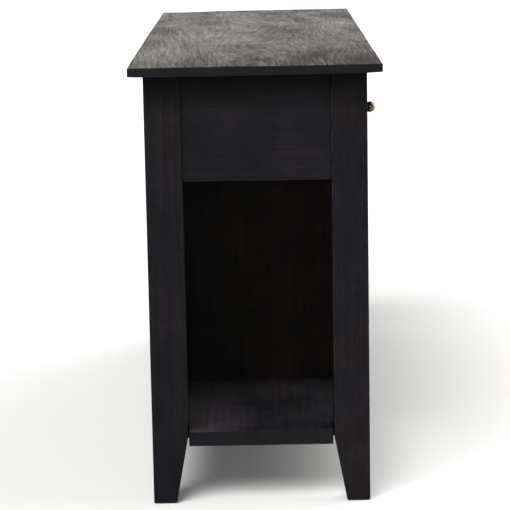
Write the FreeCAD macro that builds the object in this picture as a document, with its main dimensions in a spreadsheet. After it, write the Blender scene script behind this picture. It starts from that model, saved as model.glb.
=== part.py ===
"""Console table: a thin overhanging top on four legs with tapered feet, three drawers across the front,
a notched lower shelf, two upright partitions and a boarded back.

Frame: X runs along the table, the drawers open towards -Y, and Z is up. The origin is on the floor under
the middle of the top. Every board is a block between named faces, so a size that changes takes its
neighbours with it. All sizes are in millimetres.
"""

import FreeCAD, Part
import math
import os
import re
import Sketcher

# Driving dimensions: alias, value, meaning.
SIZES = [
    ("top_length", 1350, "table top along X"),
    ("top_depth", 420, "table top along Y"),
    ("table_height", 750, "floor to the upper face of the top"),
    ("top_thick", 15, "table top board"),
    ("end_overhang", 25, "top past the legs at each end"),
    ("side_overhang", 25, "top past the legs at front and back"),
    ("leg_width", 60, "square leg"),
    ("foot_width", 39, "square foot at the floor"),
    ("taper_height", 113, "floor to where the leg starts to taper"),
    ("apron_height", 180, "end and back aprons"),
    ("apron_thick", 20, "end and back aprons"),
    ("apron_inset", 8, "apron face behind the leg face"),
    ("front_inset", 3, "rails, drawer fronts and shelf edge behind the leg face"),
    ("top_rail_height", 20, "front rail above the drawers"),
    ("top_rail_depth", 45, "front rail above the drawers"),
    ("low_rail_height", 35, "front rail below the drawers"),
    ("low_rail_depth", 35, "front rail below the drawers, dividers and posts"),
    ("tenon_length", 25, "tenons in the legs"),
    ("tenon_thick", 10, "tenons in the legs"),
    ("tenon_edge", 15, "shoulder above and below an apron tenon"),
    ("rail_edge", 5, "shoulder round a rail tenon"),
    ("mortise_gap", 1, "glue space at the end of a tenon"),
    ("stub_length", 8, "stub tenons of posts, dividers, runners and kickers"),
    ("stub_edge", 5, "shoulder round a stub tenon"),
    ("stub_wall", 2, "wood left between two stub tenons that meet in a rail"),
    ("shelf_top", 126, "floor to the upper face of the lower shelf"),
    ("shelf_thick", 27, "lower shelf"),
    ("shelf_inset", 8, "shelf end behind the leg face"),
    ("shelf_gap", 2, "between a shelf notch and the side of a leg"),
    ("partition_x", 279, "middle of the table to the middle of a partition"),
    ("partition_thick", 20, "partition board"),
    ("post_width", 35, "dividers and posts in front of the partitions"),
    ("housing", 6, "depth of the grooves that hold partitions and back boards"),
    ("back_thick", 10, "back boards"),
    ("tongue_thick", 4, "tongue between back boards"),
    ("tongue_length", 6, "tongue between back boards"),
    ("tongue_play", 0.5, "above a tongue in its groove"),
    ("runner_thick", 25, "boards the drawers slide on"),
    ("runner_width", 30, "end runners and end kickers"),
    ("runner_spare", 3, "inner runner past the drawer side that slides on it"),
    ("guide_height", 15, "guides above the runners"),
    ("dowel_dia", 8, "shelf dowels"),
    ("dowel_length", 52, "shelf dowels"),
    ("dowel_play", 0.1, "round a dowel, on the radius and at its ends"),
    ("drawer_gap", 1.5, "round a drawer front and beside a drawer"),
    ("slide_gap", 0.3, "between a drawer and what it slides on or stops at"),
    ("front_thick", 20, "drawer front"),
    ("side_thick", 12, "drawer side and back"),
    ("side_drop", 3.7, "between a drawer side and the kicker above it"),
    ("side_past_back", 10, "drawer sides behind the drawer back"),
    ("back_drop", 7, "drawer back below the top of the sides"),
    ("dovetail_lap", 6, "drawer front left in front of the dovetails"),
    ("dovetail_flare", 2.5, "widening of a dovetail on each side"),
    ("drawer_rear_gap", 12, "behind a closed drawer"),
    ("bottom_thick", 6, "drawer bottom"),
    ("bottom_lift", 10, "drawer bottom above the lower edge of the sides"),
    ("side_groove", 5, "depth of the grooves in drawer fronts and sides"),
    ("bottom_play", 0.3, "clearance at the edges of the drawer bottom"),
    ("stop_height", 6, "drawer stop blocks"),
    ("knob_dia", 19, "ball of the knob"),
    ("knob_reach", 27.5, "drawer face to the tip of the knob"),
    ("knob_neck_dia", 9.5, "neck of the knob"),
    ("knob_rose_dia", 13, "foot of the knob against the drawer face"),
    ("knob_rose_thick", 2.5, "foot of the knob against the drawer face"),
    ("bolt_dia", 4, "machine screw of the knob"),
    ("bolt_head_dia", 8, "machine screw of the knob"),
    ("bolt_head_thick", 3, "machine screw of the knob"),
    ("bolt_bite", 11, "machine screw inside the knob"),
    ("bolt_play", 0.2, "round the machine screw and past its tip"),
    ("screw_dia", 4, "wood screws"),
    ("screw_head_dia", 8, "wood screws"),
    ("screw_head_thick", 3, "wood screws"),
    ("screw_bite", 8, "top screws inside the top"),
    ("screw_set_in", 40, "top screws from the ends of a kicker"),
    ("bottom_screw_length", 20, "screws from the drawer bottom into the drawer back"),
    ("slot_width", 1, "driver slot across a screw head"),
    ("slot_depth", 1.2, "driver slot across a screw head"),
    ("screw_play", 0.1, "round a wood screw, on the radius"),
]

BACK_BOARDS = ("lower", "middle", "upper")
DOVETAILS = 3
PARTS_FOLDER = "parts"

doc = FreeCAD.newDocument("console_table")
sheet = doc.addObject("Spreadsheet::Sheet", "Sizes")
nodes = []


def fill_sheet():
    """Writes each driving dimension as a plain number with an alias."""
    for row, (alias, value, meaning) in enumerate(SIZES, start=1):
        sheet.set(f"A{row}", alias)
        sheet.set(f"B{row}", str(value))
        sheet.set(f"C{row}", meaning)
        sheet.setAlias(f"B{row}", alias)
    doc.recompute()


ALIASES = {alias for alias, _, _ in SIZES}


def sized(text):
    """An expression in which each alias reads its cell of the sheet."""
    return re.sub(r"[a-z_]+", lambda m: "Sizes." + m[0] if m[0] in ALIASES else m[0], text)


def measure(text):
    """The number that an expression of the driving dimensions gives."""
    return float(sheet.evalExpression(text))


def bind(piece, **properties):
    """Binds properties of a piece to expressions of the driving dimensions."""
    for name, text in properties.items():
        piece.setExpression(name, sized(text))


def place(piece, x, y, z):
    """Binds the position of a piece."""
    for axis, text in zip("xyz", (x, y, z)):
        piece.setExpression(f"Placement.Base.{axis}", sized(text))


# Faces that several pieces share, as expressions.
LEG_OUT_X = "(top_length / 2 - end_overhang)"
LEG_IN_X = f"({LEG_OUT_X} - leg_width)"
LEG_OUT_Y = "(top_depth / 2 - side_overhang)"
LEG_IN_Y = f"({LEG_OUT_Y} - leg_width)"
TOP_UNDER = "(table_height - top_thick)"
APRON_LOW = f"({TOP_UNDER} - apron_height)"
END_OUT_X = f"({LEG_OUT_X} - apron_inset)"
END_IN_X = f"({END_OUT_X} - apron_thick)"
BACK_OUT_Y = f"({LEG_OUT_Y} - apron_inset)"
BACK_IN_Y = f"({BACK_OUT_Y} - apron_thick)"
FRONT_Y = f"(front_inset - {LEG_OUT_Y})"
LOW_RAIL_TOP = f"({APRON_LOW} + low_rail_height)"
LOW_RAIL_IN_Y = f"({FRONT_Y} + low_rail_depth)"
TOP_RAIL_LOW = f"({TOP_UNDER} - top_rail_height)"
TOP_RAIL_IN_Y = f"({FRONT_Y} + top_rail_depth)"
SHELF_LOW = "(shelf_top - shelf_thick)"
HOUSING_LOW = "(shelf_top - housing)"
BOARD_OUT_Y = f"({BACK_IN_Y} + back_thick)"
RUNNER_LOW = f"({LOW_RAIL_TOP} - runner_thick)"
BOARD_TOP = f"({RUNNER_LOW} + stub_edge)"
POST_IN_X = "(partition_x - post_width / 2)"
POST_OUT_X = "(partition_x + post_width / 2)"
BESIDE_POST = "(drawer_gap + side_thick + runner_spare)"
PARTITION_X = ("(partition_x - partition_thick / 2)", "(partition_x + partition_thick / 2)")
SIDE_LOW = f"({LOW_RAIL_TOP} + slide_gap)"
SIDE_TOP = f"({TOP_RAIL_LOW} - side_drop)"
DRAWER_REAR_Y = f"({BACK_IN_Y} - drawer_rear_gap)"
FRONT_IN_Y = f"({FRONT_Y} + front_thick)"
BOTTOM_LOW = f"({SIDE_LOW} + bottom_lift)"
BOTTOM_TOP = f"({BOTTOM_LOW} + bottom_thick)"
BACK_TOP = f"({SIDE_TOP} - back_drop)"
KNOB_Z = f"(({LOW_RAIL_TOP} + {TOP_RAIL_LOW}) / 2)"


def both_ways(half):
    """A span that is symmetric about the middle of the table."""
    return (f"-({half})", f"({half})")


def block(x, y, z, name="block"):
    """A board between two faces on each axis, as Part::Box."""
    piece = doc.addObject("Part::Box", name)
    spans = {"Length": x, "Width": y, "Height": z}
    bind(piece, **{side: f"({high}) - ({low})" for side, (low, high) in spans.items()})
    place(piece, x[0], y[0], z[0])
    return piece


def join(*pieces):
    """One solid from pieces that touch, with the seams between them removed."""
    piece = doc.addObject("Part::MultiFuse", "join")
    piece.Shapes = list(pieces)
    piece.Refine = True
    return piece


def cut(base, *tools):
    """The base with every tool taken away."""
    piece = doc.addObject("Part::Cut", "cut")
    piece.Base = base
    piece.Tool = tools[0] if len(tools) == 1 else join(*tools)
    piece.Refine = True
    return piece


def group(*pieces):
    """Separate solids that share one node."""
    piece = doc.addObject("Part::Compound", "group")
    piece.Links = list(pieces)
    return piece


def mirrored(source, normal=(1, 0, 0)):
    """The source reflected through the middle of the table."""
    piece = doc.addObject("Part::Mirroring", "mirror")
    piece.Source = source
    piece.Normal = normal
    return piece


def node(label, piece):
    """Names a finished piece and keeps it for export."""
    piece.Label = label
    nodes.append(piece)
    return piece


def pair(name, right):
    """A right-hand piece and its left-hand mirror image, as two nodes."""
    node(f"right_{name}", right)
    node(f"left_{name}", mirrored(right))


def rod(diameter, length, axis, x, y, z):
    """A cylinder that starts at a point and runs along +X, +Y or +Z."""
    piece = doc.addObject("Part::Cylinder", "rod")
    bind(piece, Radius=f"({diameter}) / 2", Height=length)
    turns = {"x": ((0, 1, 0), 90), "y": ((1, 0, 0), -90), "z": ((0, 0, 1), 0)}
    direction, angle = turns[axis]
    piece.Placement.Rotation = FreeCAD.Rotation(FreeCAD.Vector(*direction), angle)
    place(piece, x, y, z)
    return piece


# ---- Table top and its screws -----------------------------------------------------------------------

# Rows of screws up through the kickers and the top rail.
KICKER_SCREW_X = [f"({LEG_IN_X} - runner_width / 2)", "partition_x"]
KICKER_SCREW_Y = [f"({TOP_RAIL_IN_Y} + screw_set_in)", f"({BACK_IN_Y} - screw_set_in)"]
RAIL_SCREW_Y = f"({FRONT_Y} + top_rail_depth / 2)"
RAIL_SCREW_X = [f"(({LEG_IN_X} + {POST_OUT_X}) / 2)", "0"]


def top_screw_places():
    """Where the screws that hold the top stand."""
    for side in ("-", ""):
        for x in KICKER_SCREW_X:
            for y in KICKER_SCREW_Y:
                yield f"{side}{x}", y
        yield f"{side}{RAIL_SCREW_X[0]}", RAIL_SCREW_Y
    yield RAIL_SCREW_X[1], RAIL_SCREW_Y


def countersunk(x, y, z, length, play="0"):
    """A countersunk wood screw that points up, or with play the hole that it sits in."""
    head = doc.addObject("Part::Cone", "head")
    bind(head, Radius1=f"screw_head_dia / 2 + {play}", Radius2=f"screw_dia / 2 + {play}")
    bind(head, Height="screw_head_thick")
    place(head, x, y, z)
    return join(head, rod(f"screw_dia + 2 * {play}", f"{length} + {play}", "z", x, y, z))


def screw(x, y, z, length):
    """A countersunk wood screw with a driver slot across its head."""
    across = (f"{x} - screw_head_dia", f"{x} + screw_head_dia")
    along = (f"{y} - slot_width / 2", f"{y} + slot_width / 2")
    return cut(countersunk(x, y, z, length), block(across, along, (f"{z} - slot_depth", f"{z} + slot_depth")))


TOP_SCREW = (TOP_RAIL_LOW, "(top_rail_height + screw_bite)")


def screw_holes(want=lambda x, y: True):
    """The holes of the top screws that satisfy a test."""
    return [countersunk(x, y, *TOP_SCREW, "screw_play") for x, y in top_screw_places() if want(x, y)]


def table_top():
    board = block(both_ways("top_length / 2"), both_ways("top_depth / 2"), (TOP_UNDER, "table_height"))
    node("table_top", cut(board, *screw_holes()))
    node("top_screws", group(*[screw(x, y, *TOP_SCREW) for x, y in top_screw_places()]))


# ---- Aprons, rails and what is tenoned into them ----------------------------------------------------

END_TENON_Z = (f"{APRON_LOW} + tenon_edge", f"{TOP_UNDER} - tenon_edge")
APRON_CHEEK = "(apron_thick - tenon_thick) / 2"
RAIL_CHEEK = "(low_rail_depth - tenon_thick) / 2"
END_TENON_X = (f"{END_IN_X} + {APRON_CHEEK}", f"{END_OUT_X} - {APRON_CHEEK}")
BACK_TENON_Y = (f"{BACK_IN_Y} + {APRON_CHEEK}", f"{BACK_OUT_Y} - {APRON_CHEEK}")
BACK_TENON_Z = (BOARD_TOP, f"{TOP_UNDER} - tenon_edge")
LOW_TENON_Y = (f"{FRONT_Y} + {RAIL_CHEEK}", f"{LOW_RAIL_IN_Y} - {RAIL_CHEEK}")
LOW_TENON_Z = (f"{APRON_LOW} + rail_edge", f"{LOW_RAIL_TOP} - rail_edge")
TOP_TENON_Y = (f"{FRONT_Y} + rail_edge", f"{TOP_RAIL_IN_Y} - rail_edge")
TOP_TENON_Z = (f"{TOP_RAIL_LOW} + rail_edge", f"{TOP_UNDER} - rail_edge")
TENON_TIP_X = f"({LEG_IN_X} + tenon_length)"
TENON_TIP_Y = f"({LEG_IN_Y} + tenon_length)"
MORTISE_X = (LEG_IN_X, f"{TENON_TIP_X} + mortise_gap")

RUNNER_STUB_Z = (BOARD_TOP, f"{LOW_RAIL_TOP} - stub_edge")
KICKER_STUB_Z = (f"{TOP_RAIL_LOW} + stub_edge", f"{TOP_UNDER} - stub_edge")
POST_STUB_X = (f"{POST_IN_X} + stub_edge", f"{POST_OUT_X} - stub_edge")
POST_STUB_Y = (f"{FRONT_Y} + stub_edge", f"{LOW_RAIL_IN_Y} - stub_length - stub_wall")

# The right-hand runners and kickers: spans along X of the end one and of the one over the partition.
SLIDE_SPANS = {
    "end": (f"({LEG_IN_X} - runner_width)", LEG_IN_X),
    "inner": (f"({POST_IN_X} - {BESIDE_POST})", f"({POST_OUT_X} + {BESIDE_POST})"),
}


def narrowed(span, edge="stub_edge"):
    """A span made narrower by a shoulder at each side."""
    return (f"{span[0]} + {edge}", f"{span[1]} - {edge}")


def opposite(span):
    """The span on the other side of the middle."""
    return (f"-({span[1]})", f"-({span[0]})")


def both_sides(x, y, z):
    """Two blocks, one at each side of the middle."""
    return [block(x, y, z), block(opposite(x), y, z)]


def stub_sockets(y, z):
    """Sockets for the ends of the four runners or the four kickers."""
    return [piece for span in SLIDE_SPANS.values() for piece in both_sides(narrowed(span), y, z)]


def end_aprons():
    board = block((END_IN_X, END_OUT_X), both_ways(LEG_IN_Y), (APRON_LOW, TOP_UNDER))
    tenons = block(END_TENON_X, both_ways(TENON_TIP_Y), END_TENON_Z)
    pair("end_apron", join(board, tenons))


def back_apron():
    board = block(both_ways(LEG_IN_X), (BACK_IN_Y, BACK_OUT_Y), (APRON_LOW, TOP_UNDER))
    tenons = block(both_ways(TENON_TIP_X), BACK_TENON_Y, BACK_TENON_Z)
    rebate = block(both_ways(LEG_IN_X), (BACK_IN_Y, BOARD_OUT_Y), (APRON_LOW, BOARD_TOP))
    into_apron = (BACK_IN_Y, f"{BACK_IN_Y} + stub_length")
    sockets = stub_sockets(into_apron, RUNNER_STUB_Z) + stub_sockets(into_apron, KICKER_STUB_Z)
    node("back_apron", cut(join(board, tenons), rebate, *sockets))


def front_top_rail():
    board = block(both_ways(LEG_IN_X), (FRONT_Y, TOP_RAIL_IN_Y), (TOP_RAIL_LOW, TOP_UNDER))
    tenons = block(both_ways(TENON_TIP_X), TOP_TENON_Y, TOP_TENON_Z)
    sockets = stub_sockets((f"{TOP_RAIL_IN_Y} - stub_length", TOP_RAIL_IN_Y), KICKER_STUB_Z)
    sockets += both_sides(POST_STUB_X, POST_STUB_Y, (TOP_RAIL_LOW, f"{TOP_RAIL_LOW} + stub_length"))
    holes = screw_holes(lambda x, y: y == RAIL_SCREW_Y)
    node("front_top_rail", cut(join(board, tenons), *sockets, *holes))


def front_low_rail():
    board = block(both_ways(LEG_IN_X), (FRONT_Y, LOW_RAIL_IN_Y), (APRON_LOW, LOW_RAIL_TOP))
    tenons = block(both_ways(TENON_TIP_X), LOW_TENON_Y, LOW_TENON_Z)
    sockets = stub_sockets((f"{LOW_RAIL_IN_Y} - stub_length", LOW_RAIL_IN_Y), RUNNER_STUB_Z)
    sockets += both_sides(POST_STUB_X, POST_STUB_Y, (f"{LOW_RAIL_TOP} - stub_length", LOW_RAIL_TOP))
    sockets += both_sides(POST_STUB_X, POST_STUB_Y, (APRON_LOW, f"{APRON_LOW} + stub_length"))
    node("front_low_rail", cut(join(board, tenons), *sockets))


def post(low, high):
    """An upright of the front frame with a stub tenon at each end."""
    upright = block((POST_IN_X, POST_OUT_X), (FRONT_Y, LOW_RAIL_IN_Y), (low, high))
    stubs = block(POST_STUB_X, POST_STUB_Y, (f"{low} - stub_length", f"{high} + stub_length"))
    return join(upright, stubs)


def dividers_and_posts():
    pair("drawer_divider", post(LOW_RAIL_TOP, TOP_RAIL_LOW))
    groove = block(PARTITION_X, (f"{LOW_RAIL_IN_Y} - housing", LOW_RAIL_IN_Y), (HOUSING_LOW, APRON_LOW))
    pair("front_post", cut(post("shelf_top", APRON_LOW), groove))


# ---- Legs -------------------------------------------------------------------------------------------


def leg_blank():
    """The front right leg before its mortises: a square post whose two inner faces taper to the foot."""
    square = block((LEG_IN_X, LEG_OUT_X), opposite((LEG_IN_Y, LEG_OUT_Y)), ("taper_height", TOP_UNDER))
    foot = doc.addObject("Part::Wedge", "foot")
    foot.Placement.Rotation = FreeCAD.Rotation(FreeCAD.Vector(1, 0, 0), 90)
    bind(foot, Xmin=f"{LEG_OUT_X} - foot_width", Xmax=LEG_OUT_X, X2min=LEG_IN_X, X2max=LEG_OUT_X)
    bind(foot, Zmin=f"{LEG_OUT_Y} - foot_width", Zmax=LEG_OUT_Y, Z2min=LEG_IN_Y, Z2max=LEG_OUT_Y)
    bind(foot, Ymin="0", Ymax="taper_height")
    return join(square, foot)


def end_mortise(front):
    """The mortise of the end apron in a front or rear leg."""
    span = (LEG_IN_Y, f"{TENON_TIP_Y} + mortise_gap")
    return block(END_TENON_X, opposite(span) if front else span, END_TENON_Z)


def legs():
    top_mortise = block(MORTISE_X, TOP_TENON_Y, TOP_TENON_Z)
    low_mortise = block(MORTISE_X, LOW_TENON_Y, LOW_TENON_Z)
    holes = dowels("-", "dowel_play")
    pair("front_leg", cut(leg_blank(), end_mortise(True), top_mortise, low_mortise, *holes))
    back_mortise = block(MORTISE_X, BACK_TENON_Y, BACK_TENON_Z)
    groove_x = (LEG_IN_X, f"{LEG_IN_X} + housing + mortise_gap")
    board_groove = block(groove_x, (BACK_IN_Y, BOARD_OUT_Y), (HOUSING_LOW, BOARD_TOP))
    blank = mirrored(leg_blank(), (0, 1, 0))
    holes = dowels("", "dowel_play")
    pair("rear_leg", cut(blank, end_mortise(False), back_mortise, board_groove, *holes))


# ---- Lower shelf, partitions and back ---------------------------------------------------------------

NOTCH_Y = f"({LEG_IN_Y} - shelf_gap)"
SHELF_X = f"({LEG_OUT_X} - shelf_inset)"
SHELF_Y = f"({LEG_OUT_Y} - front_inset)"
SHELF_MID = f"({SHELF_LOW} + shelf_thick / 2)"


def dowels(side, play="0"):
    """The two dowels between the shelf and a right-hand leg, or with play the holes that they sit in. The
    side is "-" for the front leg."""
    start = f"{LEG_IN_X} - dowel_length / 2 - {play}"
    places = [f"{side}({LEG_OUT_Y} - leg_width * {share} / 3)" for share in (1, 2)]
    return [
        rod(f"dowel_dia + 2 * {play}", f"dowel_length + 2 * {play}", "x", start, y, SHELF_MID) for y in places
    ]


def shelf():
    board = block(both_ways(SHELF_X), both_ways(SHELF_Y), (SHELF_LOW, "shelf_top"))
    tools = []
    for notch in ((NOTCH_Y, SHELF_Y), opposite((NOTCH_Y, SHELF_Y))):
        tools += both_sides((LEG_IN_X, SHELF_X), notch, (SHELF_LOW, "shelf_top"))
    tools += both_sides(PARTITION_X, (f"{LOW_RAIL_IN_Y} - housing", BACK_IN_Y), (HOUSING_LOW, "shelf_top"))
    tools.append(block(both_ways(LEG_IN_X), (BACK_IN_Y, BOARD_OUT_Y), (HOUSING_LOW, "shelf_top")))
    tools += both_sides(POST_STUB_X, POST_STUB_Y, ("shelf_top - stub_length", "shelf_top"))
    holes = dowels("-", "dowel_play") + dowels("", "dowel_play")
    node("lower_shelf", cut(board, *tools, *holes, *[mirrored(hole) for hole in holes]))
    right = dowels("-") + dowels("")
    node("shelf_dowels", group(*right, *[mirrored(dowel) for dowel in right]))


def partitions():
    board = block(PARTITION_X, (LOW_RAIL_IN_Y, BACK_IN_Y), (HOUSING_LOW, RUNNER_LOW))
    edge = block(PARTITION_X, (f"{LOW_RAIL_IN_Y} - housing", LOW_RAIL_IN_Y), (HOUSING_LOW, APRON_LOW))
    pair("partition", join(board, edge))


def back_boards():
    """Level boards that lap each other with tongues, the lowest standing in the shelf."""
    length = both_ways(f"{LEG_IN_X} + housing")
    cheek = "(back_thick - tongue_thick) / 2"
    tongue_y = (f"{BACK_IN_Y} + {cheek}", f"{BOARD_OUT_Y} - {cheek}")
    pitch = f"({BOARD_TOP} - {HOUSING_LOW}) / {len(BACK_BOARDS)}"
    for number, name in enumerate(BACK_BOARDS):
        low = f"({HOUSING_LOW} + {pitch} * {number})"
        high = f"({HOUSING_LOW} + {pitch} * {number + 1})"
        board = block(length, (BACK_IN_Y, BOARD_OUT_Y), (low, high))
        if number + 1 < len(BACK_BOARDS):
            board = join(board, block(length, tongue_y, (high, f"{high} + tongue_length")))
        if number > 0:
            board = cut(board, block(length, tongue_y, (low, f"{low} + tongue_length + tongue_play")))
        node(f"{name}_back_board", board)


# ---- What the drawers slide on ----------------------------------------------------------------------


def slides(name, body_z, stub_z, front_y, holes):
    """The right-hand boards below or above the drawers, tenoned into the front rail and the back apron."""
    for place_name, span in SLIDE_SPANS.items():
        board = block(span, (front_y, BACK_IN_Y), body_z)
        stubs = block(narrowed(span), (f"{front_y} - stub_length", f"{BACK_IN_Y} + stub_length"), stub_z)
        piece = join(board, stubs)
        if holes:
            column = KICKER_SCREW_X[0] if place_name == "end" else KICKER_SCREW_X[1]
            piece = cut(piece, *screw_holes(lambda x, y: x == column and y in KICKER_SCREW_Y))
        pair(f"{place_name}_{name}", piece)


def runners_and_kickers():
    slides("runner", (RUNNER_LOW, LOW_RAIL_TOP), RUNNER_STUB_Z, LOW_RAIL_IN_Y, holes=False)
    slides("kicker", (TOP_RAIL_LOW, TOP_UNDER), KICKER_STUB_Z, TOP_RAIL_IN_Y, holes=True)


def guides():
    """Strips that keep the drawers straight: one beside each end apron and one over each partition."""
    guide_top = f"{LOW_RAIL_TOP} + guide_height"
    pair("end_guide", block((LEG_IN_X, END_IN_X), both_ways(LEG_IN_Y), (RUNNER_LOW, guide_top)))
    inner = block((POST_IN_X, POST_OUT_X), (LOW_RAIL_IN_Y, BACK_IN_Y), (LOW_RAIL_TOP, guide_top))
    pair("inner_guide", inner)


# ---- Drawers ----------------------------------------------------------------------------------------

# Each drawer's opening along X.
OPENINGS = {
    "left": (f"-{LEG_IN_X}", f"-{POST_OUT_X}"),
    "middle": (f"-{POST_IN_X}", POST_IN_X),
    "right": (POST_OUT_X, LEG_IN_X),
}
DRAWER_BACK_Y = (f"{DRAWER_REAR_Y} - side_past_back - side_thick", f"{DRAWER_REAR_Y} - side_past_back")
TAIL_SHARE = 0.6


def tails(span):
    """The dovetails on the front end of a drawer side that lies in the span."""
    pitch = f"({SIDE_TOP} - {SIDE_LOW}) / {DOVETAILS}"
    wide = f"{pitch} * {TAIL_SHARE}"
    for number in range(DOVETAILS):
        tail = doc.addObject("Part::Wedge", "tail")
        tail.Placement.Rotation = FreeCAD.Rotation(FreeCAD.Vector(0, 0, 1), 180)
        bind(tail, Xmin="0", Xmax="side_thick", X2min="0", X2max="side_thick")
        bind(tail, Ymin="0", Ymax="front_thick - dovetail_lap")
        bind(tail, Zmin="dovetail_flare", Zmax=f"{wide} - dovetail_flare", Z2min="0", Z2max=wide)
        place(tail, span[1], FRONT_IN_Y, f"{SIDE_LOW} + {pitch} * ({number} + (1 - {TAIL_SHARE}) / 2)")
        yield tail


def bolt(x):
    """The machine screw from inside a drawer front into its knob."""
    head = rod("bolt_head_dia", "bolt_head_thick", "y", x, FRONT_IN_Y, KNOB_Z)
    shank = rod("bolt_dia", "bolt_bite + front_thick", "y", x, f"{FRONT_Y} - bolt_bite", KNOB_Z)
    across = (f"{x} - bolt_head_dia", f"{x} + bolt_head_dia")
    crown = f"{FRONT_IN_Y} + bolt_head_thick"
    slot_y = (f"{crown} - slot_depth", f"{crown} + slot_depth")
    slot_z = (f"{KNOB_Z} - slot_width / 2", f"{KNOB_Z} + slot_width / 2")
    return cut(join(head, shank), block(across, slot_y, slot_z))


def knob_corners():
    """Radius and distance from the drawer face of each corner of the knob's turned outline."""
    ball = "knob_dia / 2"
    hole = "bolt_dia / 2 + bolt_play"
    deep = "bolt_bite + bolt_play"
    return [
        (hole, "0"),
        ("knob_rose_dia / 2", "0"),
        ("knob_rose_dia / 2", "knob_rose_thick"),
        ("knob_neck_dia / 2", "knob_rose_thick"),
        (f"{ball} * 0.8", f"knob_reach - {ball} * 1.6"),
        ("0", "knob_reach"),
        ("0", deep),
        (hole, deep),
    ]


BALL_EDGE = 4  # the edge of the outline that is the ball's arc


def hold_corner(sketch, edge, distances):
    """Ties the start of an edge to its radius and its distance from the drawer face."""
    for kind, axis, text in zip(("DistanceX", "DistanceY"), (-2, -1), distances):
        if text == "0":
            sketch.addConstraint(Sketcher.Constraint("PointOnObject", edge, 1, axis))
        else:
            index = sketch.addConstraint(Sketcher.Constraint(kind, -1, 1, edge, 1, measure(text)))
            sketch.setExpression(f"Constraints[{index}]", sized(text))


def knob(x):
    """A turned ball on a short cone, with a flat foot and a blind hole for its screw. The cone meets the
    ball where the ball's radius is four fifths of its widest."""
    body = doc.addObject("PartDesign::Body", "knob")
    sketch = body.newObject("Sketcher::SketchObject", "outline")
    plane = next(feature for feature in body.Origin.OriginFeatures if feature.Role == "XY_Plane")
    sketch.AttachmentSupport = [(plane, "")]
    sketch.MapMode = "FlatFace"
    corners = knob_corners()
    points = [FreeCAD.Vector(measure(radius), measure(height), 0) for radius, height in corners]
    for edge, start in enumerate(points):
        end = points[(edge + 1) % len(points)]
        if edge == BALL_EDGE:
            radius = measure("knob_dia / 2")
            circle = Part.Circle(FreeCAD.Vector(0, end.y - radius, 0), FreeCAD.Vector(0, 0, 1), radius)
            sketch.addGeometry(Part.ArcOfCircle(circle, math.asin(-0.6), math.pi / 2))
            sketch.addConstraint(Sketcher.Constraint("PointOnObject", edge, 3, -2))
        else:
            sketch.addGeometry(Part.LineSegment(start, end))
    for edge, corner in enumerate(corners):
        sketch.addConstraint(Sketcher.Constraint("Coincident", edge, 2, (edge + 1) % len(corners), 1))
        hold_corner(sketch, edge, corner)
    turned = body.newObject("PartDesign::Revolution", "turned")
    turned.Profile = sketch
    turned.ReferenceAxis = (sketch, ["V_Axis"])
    turned.Angle = 360
    body.Placement.Rotation = FreeCAD.Rotation(FreeCAD.Vector(0, 0, 1), 180)
    place(body, x, FRONT_Y, KNOB_Z)
    return body


def drawer_side(span, inner):
    """A drawer side in its span, dovetailed at the front and grooved on its inner face."""
    board = block(span, (FRONT_IN_Y, DRAWER_REAR_Y), (SIDE_LOW, SIDE_TOP))
    bottom_groove = block(inner, (f"{FRONT_Y} + dovetail_lap", DRAWER_REAR_Y), (BOTTOM_LOW, BOTTOM_TOP))
    back_groove = block(inner, DRAWER_BACK_Y, (BOTTOM_TOP, SIDE_TOP))
    return cut(join(board, *tails(span)), bottom_groove, back_groove)


def drawer(name, opening):
    """An inset drawer: half-blind dovetails at the front, the bottom in grooves and screwed to the back."""
    low, high = f"({opening[0]} + drawer_gap)", f"({opening[1]} - drawer_gap)"
    left, right = (low, f"({low} + side_thick)"), (f"({high} - side_thick)", high)
    left_groove, right_groove = (f"{left[1]} - side_groove", left[1]), (right[0], f"{right[0]} + side_groove")
    panel = (f"{left_groove[0]} + bottom_play", f"{right_groove[1]} - bottom_play")
    middle = f"(({low} + {high}) / 2)"

    face_z = (f"{LOW_RAIL_TOP} + drawer_gap", f"{TOP_RAIL_LOW} - drawer_gap")
    face = block((low, high), (FRONT_Y, FRONT_IN_Y), face_z)
    across = (left_groove[0], right_groove[1])
    groove = block(across, (f"{FRONT_IN_Y} - side_groove", FRONT_IN_Y), (BOTTOM_LOW, BOTTOM_TOP))
    hole = rod("bolt_dia + 2 * bolt_play", "front_thick", "y", middle, FRONT_Y, KNOB_Z)
    node(f"{name}_drawer_front", cut(face, *tails(left), *tails(right), groove, hole))
    node(f"{name}_drawer_left_side", drawer_side(left, left_groove))
    node(f"{name}_drawer_right_side", drawer_side(right, right_groove))

    screw_x = [f"({low} + ({high} - ({low})) * {quarter} / 4)" for quarter in (1, 2, 3)]
    screw_y = f"({DRAWER_BACK_Y[0]} + side_thick / 2)"
    seat = (BOTTOM_LOW, "bottom_screw_length")
    holes = [countersunk(x, screw_y, *seat, "screw_play") for x in screw_x]
    back = block(across, DRAWER_BACK_Y, (BOTTOM_TOP, BACK_TOP))
    bottom_y = (f"{FRONT_IN_Y} - side_groove + bottom_play", DRAWER_BACK_Y[1])
    node(f"{name}_drawer_back", cut(back, *holes))
    node(f"{name}_drawer_bottom", cut(block(panel, bottom_y, (BOTTOM_LOW, BOTTOM_TOP)), *holes))
    node(f"{name}_drawer_bottom_screws", group(*[screw(x, screw_y, *seat) for x in screw_x]))
    node(f"{name}_drawer_knob", knob(middle))
    node(f"{name}_drawer_knob_bolt", bolt(middle))

    behind = (f"{DRAWER_REAR_Y} + slide_gap", BACK_IN_Y)
    return [block(side, behind, (LOW_RAIL_TOP, f"{LOW_RAIL_TOP} + stop_height")) for side in (left, right)]


def drawers():
    """The three drawers, and behind each side of each one the block that it stops against."""
    stops = [stop for name, opening in OPENINGS.items() for stop in drawer(name, opening)]
    node("drawer_stops", group(*stops))


# ---- Build, check and export ------------------------------------------------------------------------


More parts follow.
